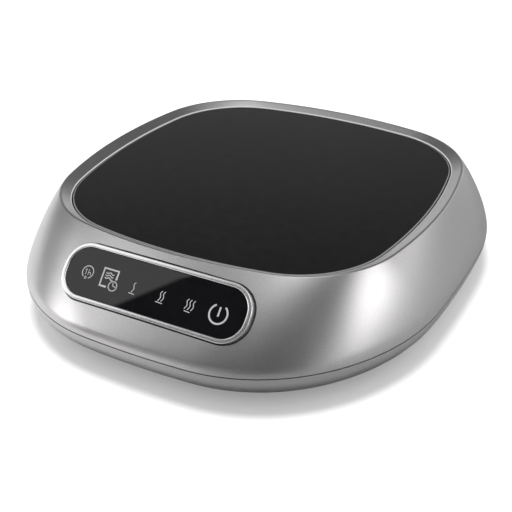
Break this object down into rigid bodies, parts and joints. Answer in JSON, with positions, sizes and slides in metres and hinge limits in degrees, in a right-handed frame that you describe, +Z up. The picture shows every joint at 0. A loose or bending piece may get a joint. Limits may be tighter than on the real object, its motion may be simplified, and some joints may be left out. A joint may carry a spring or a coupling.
{
  "type": "electric mug warmer",
  "caption": "Electric mug warmer: black glass hot plate in a satin silver rounded-square housing, sloping front with an oval touch panel, mains inlet at the back.",
  "frame": {"origin": "on the table under the middle of the glass plate", "axes": "+Z up, touch panel facing -Y, +X to the right as seen by the user"},
  "size_m": [0.1622, 0.1906, 0.04],
  "materials": {
    "silver_paint": "satin metallic with a fine flake",
    "black_glass": "polished, opaque black",
    "black_rubber": "matte",
    "bare_aluminium": "satin",
    "mica": "matte",
    "glass_fibre": "matte felt",
    "zinc_steel": "zinc plated sheet",
    "screw_steel": "plated",
    "ceramic_body": "fired, unglazed",
    "spring_brass": "bright",
    "bright_chrome": "polished",
    "smoked_lens": "polished",
    "symbol_ink": "printed ink",
    "black_plastic": "fine grain",
    "board_green": "lacquered",
    "spring_steel": "bright wire",
    "lamp_resin": "clear cast",
    "ribbon_grey": "flexible",
    "transformer_dark": "taped",
    "relay_blue": "moulded",
    "capacitor_sleeve": "shrunk sleeve",
    "fuse_glass": "clear tube",
    "connector_green": "moulded",
    "pin_brass": "nickel plated",
    "lead_brown": "soft",
    "lead_white": "braided sleeve",
    "lead_red": "soft"
  },
  "bodies": {
    "warmer": {"upper_housing": "silver_paint", "lower_housing": "silver_paint", "glass_plate": "black_glass", "glass_seal": "black_rubber", "heat_spreader": "bare_aluminium", "heater_element": "mica", "insulation_pad": "glass_fibre", "heater_pan": "zinc_steel", "heater_pan_screws": "screw_steel", "temperature_sensor": "ceramic_body", "sensor_clip": "zinc_steel", "thermal_fuse": "ceramic_body", "fuse_clip": "zinc_steel", "cutout_cap": "bare_aluminium", "cutout_disc": "spring_brass", "cutout_body": "ceramic_body", "cutout_cover": "ceramic_body", "cutout_terminals": "spring_brass", "cutout_bracket": "zinc_steel", "cutout_screws": "screw_steel", "control_bezel": "bright_chrome", "control_lens": "smoked_lens", "control_symbols": "symbol_ink", "panel_frame": "black_plastic", "panel_screws": "screw_steel", "touch_board": "board_green", "touch_springs": "spring_steel", "indicator_lamps": "lamp_resin", "ribbon_cable": "ribbon_grey", "power_board": "board_green", "board_screws": "screw_steel", "transformer": "transformer_dark", "power_relay": "relay_blue", "capacitors": "capacitor_sleeve", "glass_fuse": "fuse_glass", "control_chip": "black_plastic", "buzzer": "black_plastic", "terminal_block": "connector_green", "inlet_housing": "black_plastic", "inlet_pins": "pin_brass", "inlet_screws": "screw_steel", "mains_leads": "lead_brown", "heater_leads": "lead_white", "sensor_leads": "lead_red", "rubber_feet": "black_rubber", "base_screws": "screw_steel", "rating_plate": "bare_aluminium"},
    "contact_blade": {"cutout_blade": "spring_brass"},
    "transfer_pin": {"cutout_pin": "ceramic_body"}
  },
  "joints": [
    {"name": "blade_swing", "type": "hinge", "parent": "warmer", "child": "contact_blade", "pos_m": [-0.0052, 0, 0.02435], "axis": [0, 1, 0], "range_deg": [0, 4.8], "stiffness_Nm_per_rad": 0.001, "springref_deg": -17.19},
    {"name": "pin_travel", "type": "slide", "parent": "warmer", "child": "transfer_pin", "axis": [0, 0, -1], "range_m": [0, 0.0004]}
  ],
  "couplings": [
    {"joint": "blade_swing", "follows": "pin_travel", "rad_per_m": 192.31}
  ]
}
